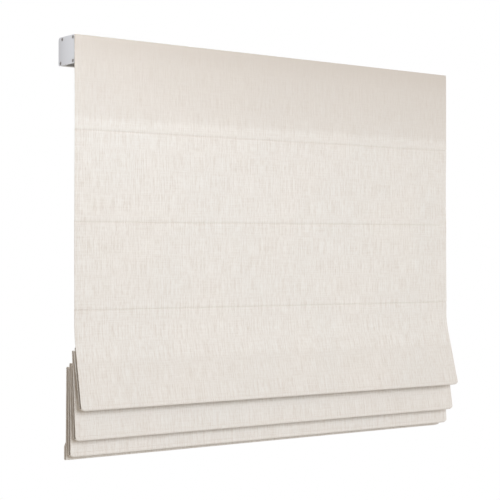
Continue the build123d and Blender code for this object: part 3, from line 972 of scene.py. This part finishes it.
STARTS_AT = {  # each piece, and the mark where it starts
    "heading": "heading",
    "panel": "panel",
    "pleat_1_front": "seam_3",
    "pleat_1_back": "pleat_1_back",
    "pleat_2_front": "pleat_2_front",
    "pleat_2_back": "pleat_2_back",
    "pleat_3_front": "pleat_3_front",
    "pleat_3_back": "pleat_3_back",
    "tail": "pleat_4_front",
}
starts = [down_at[mark] for mark in STARTS_AT.values()]
cloth = {}
for piece, start, end in zip(STARTS_AT, starts, starts[1:] + [CLOTH_LENGTH]):
    cloth[piece] = cut_out(sheet, f"cloth_{piece}", start, end)
    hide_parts("blind_cloth")
    held = "hung" if piece in ("heading", "panel") else "folded"
    end - start
print("cloth pieces:", {name: len(made.data.polygons) for name, made in cloth.items()})

# %% [markdown]
# ## How the pieces move
# The heading stays on the rail. The panel can't fold by joints alone; it hangs from the rail too, with a mesh
# of its own. Each pleat's front rides with its own rods, and each back leg blends from the foot's body
# to the head's.

# %% Joints of the cloth
ABOVE_FOOT, BELOW_HEAD = 3 * MM, 8 * MM  # where a back leg starts and stops bending between its bodies


def height(z):
    return (0, 0, z)


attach(cloth["heading"], "head")
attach(cloth["panel"], "head")
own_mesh(cloth["panel"])
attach(cloth["pleat_1_front"], "stack")
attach(cloth["pleat_2_front"], "row_5")
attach(cloth["pleat_3_front"], "row_7")
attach(cloth["tail"], "hem")
BODIES = ["stack", "row_5", "row_7", "hem"]
for pleat in (1, 2, 3):
    foot, head = RODS[2 * pleat + 1], RODS[2 * pleat + 2]
    upper, lower = BODIES[pleat - 1], BODIES[pleat]
    start, end = height(foot.z + ABOVE_FOOT), height(head.z - BELOW_HEAD)
    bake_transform(cloth[f"pleat_{pleat}_back"], upper, lower, start=start, end=end)

# %% [markdown]
# ## Stitches
# A seam is a line of small raised threads with gaps where the needle went in. Each stitch is a very low
# sphere stretched along the seam, so a thousand of them stay light. They follow a row of the sheet's own
# vertices, so they sit in the groove and ride over every wave of the cloth.

# %% Sew the seams
STITCH_LENGTH = 3.0 * MM
STITCH_PITCH = 4.4 * MM
STITCH_RADIUS = 0.24 * MM
STITCH_PROUD = 0.05 * MM
SEAM_END = 3 * MM  # from the cloth's side to the first stitch
SAME_ROW = 0.01 * MM


def row_of(bm, down_place):
    """(place, normal) along the cloth's row at a distance down, from left to right."""
    down = bm.verts.layers.float["down"]
    row = [vertex for vertex in bm.verts if abs(vertex[down] - down_place) < SAME_ROW]
    row.sort(key=lambda vertex: vertex.co.x)
    return [(vertex.co.copy(), vertex.normal.copy()) for vertex in row]


def point_on(row, x):
    """The row's place and normal at x, between its two nearest vertices."""
    right = bisect.bisect([place.x for place, _ in row], x, 1, len(row) - 1)
    (a, a_normal), (b, b_normal) = row[right - 1], row[right]
    share = (x - a.x) / (b.x - a.x)
    return a.lerp(b, share), a_normal.lerp(b_normal, share).normalized()


def add_stitches(bm, row, slope_seed):
    """Short threads along a row, each turned by a degree or so as hand and machine leave them."""
    dice = random.Random(slope_seed)
    size = Matrix.Diagonal((STITCH_LENGTH / 2, STITCH_RADIUS, STITCH_RADIUS, 1))
    x = -HALF_WIDTH + SEAM_END
    while x < HALF_WIDTH - SEAM_END:
        place, normal = point_on(row, x)
        turn = Matrix.Rotation(dice.uniform(-0.05, 0.05), 4, normal)
        onward = point_on(row, x + 1 * MM)[0] - place
        lean = Vector((1, 0, 0)).rotation_difference(onward).to_matrix().to_4x4()
        matrix = Matrix.Translation(place + normal * STITCH_PROUD) @ turn @ lean @ size
        bmesh.ops.create_uvsphere(bm, u_segments=6, v_segments=5, radius=1, matrix=matrix)
        x += STITCH_PITCH * dice.uniform(0.97, 1.03)


SEAM_BODY = {
    "seam_1": "row_1",
    "seam_2": "row_2",
    "seam_3": "stack",
    "foot_1": "stack",
    "foot_2": "row_5",
    "foot_3": "row_7",
    "hem_stitch": "hem",
}
for number, (mark, body) in enumerate(SEAM_BODY.items()):
    seam = bmesh.new()
    add_stitches(seam, row_of(sheet, down_at[mark]), number)
    stitches = object_from(seam, f"stitches_{mark}", [seam_thread])
    seam.free()
    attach(stitches, body)
print("stitched", len(SEAM_BODY), "rows; the last has", len(stitches.data.polygons), "faces")

# %% [markdown]
# ## Rod pockets
# Each rod lies in a narrow pocket of lining cloth, sewn on along one line. Its section is a ring whose
# nearest point is drawn out to touch the cloth, which makes the drop shape of a real pocket. The ring is
# extruded along the rod, rumpled slightly, and given a wall.

# %% Sew the pockets
POCKET_WALL = 0.4 * MM
POCKET_SIDES, POCKET_COLUMNS = 18, 70
CLOTH_BACK = 0.35 * MM  # from the sleeve out to the cloth's back
RUMPLE = 0.25 * MM
FLAT_ROWS = 3  # pockets that hang on the flat cloth; the rest lie in folds


def pocket_ring(bm, centre, pull):
    """A ring round a rod, drawn out to the cloth in one direction."""
    upright = Matrix.Translation(centre) @ Matrix.Rotation(math.pi / 2, 4, "Y")
    bmesh.ops.create_circle(bm, segments=POCKET_SIDES, radius=SLEEVE_RADIUS, matrix=upright)
    nearest = max(bm.verts, key=lambda vertex: (vertex.co - centre).dot(pull))
    nearest.co = centre + pull * (SLEEVE_RADIUS + CLOTH_BACK)


def rumple_pocket(bm, rod, number):
    """Dents all along, never swellings, so that the pocket stays in its sleeve's space."""
    for vertex in bm.verts:
        rumple = noise.noise(Vector((vertex.co.x * 45, vertex.co.y * 300, vertex.co.z * 300 + number)))
        away = Vector((0, vertex.co.y - rod.y, vertex.co.z - rod.z)).normalized()
        vertex.co += away * min(0.0, rumple) * RUMPLE


def rod_pocket(number):
    """A drop-shaped tube round a rod. Flat rows are sewn on at the front, folded rows at their foot."""
    rod = RODS[number - 1]
    low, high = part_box(f"rod_sleeve_{number}")
    bm = bmesh.new()
    pull = Vector((0, -1, 0)) if number <= FLAT_ROWS else Vector((0, 0, -1))
    pocket_ring(bm, Vector((low.x, rod.y, rod.z)), pull)
    extrude_across(bm, high.x - low.x, POCKET_COLUMNS)
    bmesh.ops.recalc_face_normals(bm, faces=bm.faces[:])
    pocket_map = bm.loops.layers.uv.new(CLOTH_MAP)
    for face in bm.faces:
        for loop in face.loops:
            loop[pocket_map].uv = (loop.vert.co.x, loop.vert.co.y + loop.vert.co.z)
    rumple_pocket(bm, rod, number)
    made = object_from(bm, f"rod_pocket_{number}", [lining_cloth])
    bm.free()
    wall = made.modifiers.new("wall", "SOLIDIFY")
    wall.thickness = POCKET_WALL
    wall.offset = -1
    settle(made)
    return made


POCKET_BODY = ["row_1", "row_2", "stack", "stack", "row_5", "row_5", "row_7", "row_7", "hem"]
for number, body in enumerate(POCKET_BODY, start=1):
    pocket = rod_pocket(number)
    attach(pocket, body)
    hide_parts(f"rod_sleeve_{number}")
print("pockets:", len(POCKET_BODY))

# %% [markdown]
# ## Lift cords
# Three thin braided cords run from their spools, out through a guide, down through the rings and into a
# lock. The blind holds them all the way. A tube is swept by hand: a small ring is extruded from point to
# point of the route and turned to follow it, and each ring keeps its distance along the cord, for the
# braid.

# %% Cord lines
CORD_SIDES = 8
CORD_RADIUS = (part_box("lift_cord_left")[1].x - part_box("lift_cord_left")[0].x) / 2
CORD_ROUTE = [  # (y, z) in millimetres
    (-41.0, -5.7),  # spool
    (-41.0, -27.0),  # guide
    (-45.0, -135.0),  # rod 1's ring
    (-44.5, -528.0),  # rod 5's
    (-35.7, -542.0),  # rod 7's
    (-27.1, -552.3),  # rod 9's
    (-27.1, -558.0),  # lock
]


def cord_line(x):
    """Points along a smooth spline that has the route's points as its control points."""
    curve = bpy.data.curves.new("cord_line", "CURVE")
    curve.dimensions = "3D"
    curve.resolution_u = 16
    spline = curve.splines.new("NURBS")
    spline.points.add(len(CORD_ROUTE) - 1)
    for point, (y, z) in zip(spline.points, CORD_ROUTE):
        point.co = (x, y * MM, z * MM, 1)
    spline.order_u = 3
    spline.use_endpoint_u = True
    holder = bpy.data.objects.new("cord_line", curve)
    mesh = bpy.data.meshes.new_from_object(holder)
    points = [vertex.co.copy() for vertex in mesh.vertices]
    bpy.data.objects.remove(holder)
    bpy.data.curves.remove(curve)
    bpy.data.meshes.remove(mesh)
    return points


cord_lines = [cord_line(middle(f"lift_cord_{side}").x) for side in ("left", "middle", "right")]
print("cord radius", round(CORD_RADIUS / MM, 2), "mm;", len(cord_lines[0]), "points on each line")


# %% Sweep the cords
def first_ring(bm, point, direction):
    """A small ring square to the cord, each vertex told its share of the way round."""
    turn = Vector((0, 0, 1)).rotation_difference(direction).to_matrix().to_4x4()
    made = bmesh.ops.create_circle(
        bm, segments=CORD_SIDES, radius=CORD_RADIUS, matrix=Matrix.Translation(point) @ turn
    )["verts"]
    for index, vertex in enumerate(made):
        vertex[bm.verts.layers.float["around"]] = index / CORD_SIDES
    return made


def sweep(bm, points):
    """Extrude the ring from point to point, turning it with the line."""
    along, around = bm.verts.layers.float["along"], bm.verts.layers.float["around"]
    heading = (points[1] - points[0]).normalized()
    ring = first_ring(bm, points[0], heading)
    length = 0.0
    for before, point, after in zip(points, points[1:], points[2:] + [None]):
        onward = (after - before).normalized() if after else heading
        edges = {edge for vertex in ring for edge in vertex.link_edges if all(v in ring for v in edge.verts)}
        shares = sorted(((vertex.co - before).normalized().to_tuple(), vertex[around]) for vertex in ring)
        made = bmesh.ops.extrude_edge_only(bm, edges=list(edges))["geom"]
        new_ring = [item for item in made if isinstance(item, bmesh.types.BMVert)]
        by_place = {(vertex.co - before).normalized().to_tuple(3): vertex for vertex in new_ring}
        for place, share in shares:
            by_place[Vector(place).to_tuple(3)][around] = share
        bmesh.ops.translate(bm, verts=new_ring, vec=point - before)
        turn = heading.rotation_difference(onward).to_matrix()
        bmesh.ops.rotate(bm, verts=new_ring, cent=point, matrix=turn)
        length += (point - before).length
        for vertex in new_ring:
            vertex[along] = length
        ring, heading = new_ring, onward


def map_cord(bm):
    """The braid's map: turns round the cord, and metres along it. A face past the end of a turn counts on."""
    along, around = bm.verts.layers.float["along"], bm.verts.layers.float["around"]
    cord_map = bm.loops.layers.uv.new(CLOTH_MAP)
    for face in bm.faces:
        shares = [vertex[around] for vertex in face.verts]
        wraps = max(shares) - min(shares) > 0.5
        for loop in face.loops:
            share = loop.vert[around]
            loop[cord_map].uv = (share + 1 if wraps and share < 0.5 else share, loop.vert[along])


cords = bmesh.new()
cords.verts.layers.float.new("along")
cords.verts.layers.float.new("around")
for points in cord_lines:
    sweep(cords, points)
bmesh.ops.recalc_face_normals(cords, faces=cords.faces[:])
print("cords:", len(cords.faces), "faces")

# %% [markdown]
# The cords are cut below the rail and at rods 3, 5 and 7, near the cloth's own cuts. Each stretch moves as
# the cloth beside it does: still inside the rail, hung from the rail behind the panel with a mesh of its own,
# then drawn out between the rows as the pleats open.

# %% Cut the cords
CORD_CUTS = [PANEL_TOP_Z, RODS[2].z, RODS[4].z, RODS[6].z]
CORD_NAMES = ["rail", "panel", "row_5", "row_7", "hem"]
ABOVE_ALL, BELOW_ALL = 1.0, -1.0  # heights beyond both ends of the cords
for cut in CORD_CUTS:
    everything = cords.verts[:] + cords.edges[:] + cords.faces[:]
    bmesh.ops.bisect_plane(cords, geom=everything, plane_co=(0, 0, cut), plane_no=(0, 0, 1))
map_cord(cords)

cord_pieces = {}
for name, high, low in zip(CORD_NAMES, [ABOVE_ALL] + CORD_CUTS, CORD_CUTS + [BELOW_ALL]):
    stretch = cords.copy()
    outside = [face for face in stretch.faces if not low < face.calc_center_median().z < high]
    bmesh.ops.delete(stretch, geom=outside, context="FACES")
    ends = [edge for edge in stretch.edges if edge.is_boundary]
    bmesh.ops.holes_fill(stretch, edges=ends, sides=CORD_SIDES)
    cord_pieces[name] = object_from(stretch, f"lift_cords_{name}", [cord_braid])
    stretch.free()
    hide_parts("lift_cord_left", "lift_cord_middle", "lift_cord_right")
cords.free()

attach(cord_pieces["rail"], "head")
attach(cord_pieces["panel"], "head")
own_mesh(cord_pieces["panel"])
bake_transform(cord_pieces["row_5"], "stack", "row_5", start=height(RODS[2].z), end=height(RODS[4].z))
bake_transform(cord_pieces["row_7"], "row_5", "row_7", start=height(RODS[4].z), end=height(RODS[6].z))
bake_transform(cord_pieces["hem"], "row_7", "hem", start=height(RODS[6].z), end=height(RODS[8].z))
print("cord pieces:", {name: len(made.data.polygons) for name, made in cord_pieces.items()})

# %% [markdown]
# ## Floor
# A pale round floor lies well below the blind, so that it catches light in the views from above. It turns
# transparent towards its rim, so that it has no edge against the white room.

# %% Lay the floor
FLOOR_Z = -1.62
FLOOR_RADIUS = 2.4
SOLID_SHARE = 0.35  # of the radius, where the fading starts


def pale_floor():
    finish = Finish("pale_floor")
    place = solid_place(finish)
    speckle = stretched_noise(finish, place, (60, 60, 60), 3.0)
    color = blended(finish, speckle, (0.80, 0.80, 0.79), (0.86, 0.86, 0.85))
    flat_place = finish.node("ShaderNodeVectorMath", {"operation": "MULTIPLY"}, {0: place, 1: (1, 1, 0)})
    outward = finish.node("ShaderNodeVectorMath", {"operation": "LENGTH"}, {0: flat_place}, 1)
    solid = ramp(finish, outward * (1 / FLOOR_RADIUS), [(SOLID_SHARE, 1.0), (1.0, 0.0)])
    return finish.set(base_color=color, roughness=0.6 + speckle * 0.2, alpha=solid)


ground = bmesh.new()
bmesh.ops.create_circle(
    ground, cap_ends=True, segments=96, radius=FLOOR_RADIUS, matrix=Matrix.Translation((0, 0, FLOOR_Z))
)
floor = object_from(ground, "floor", [pale_floor()])
ground.free()
print("floor at", FLOOR_Z)

# %% [markdown]
# ## Finish
# The working sheet is freed at the end. The visual model may stand only slightly proud of the CAD
# box.

# %% Free the sheet
sheet.free()
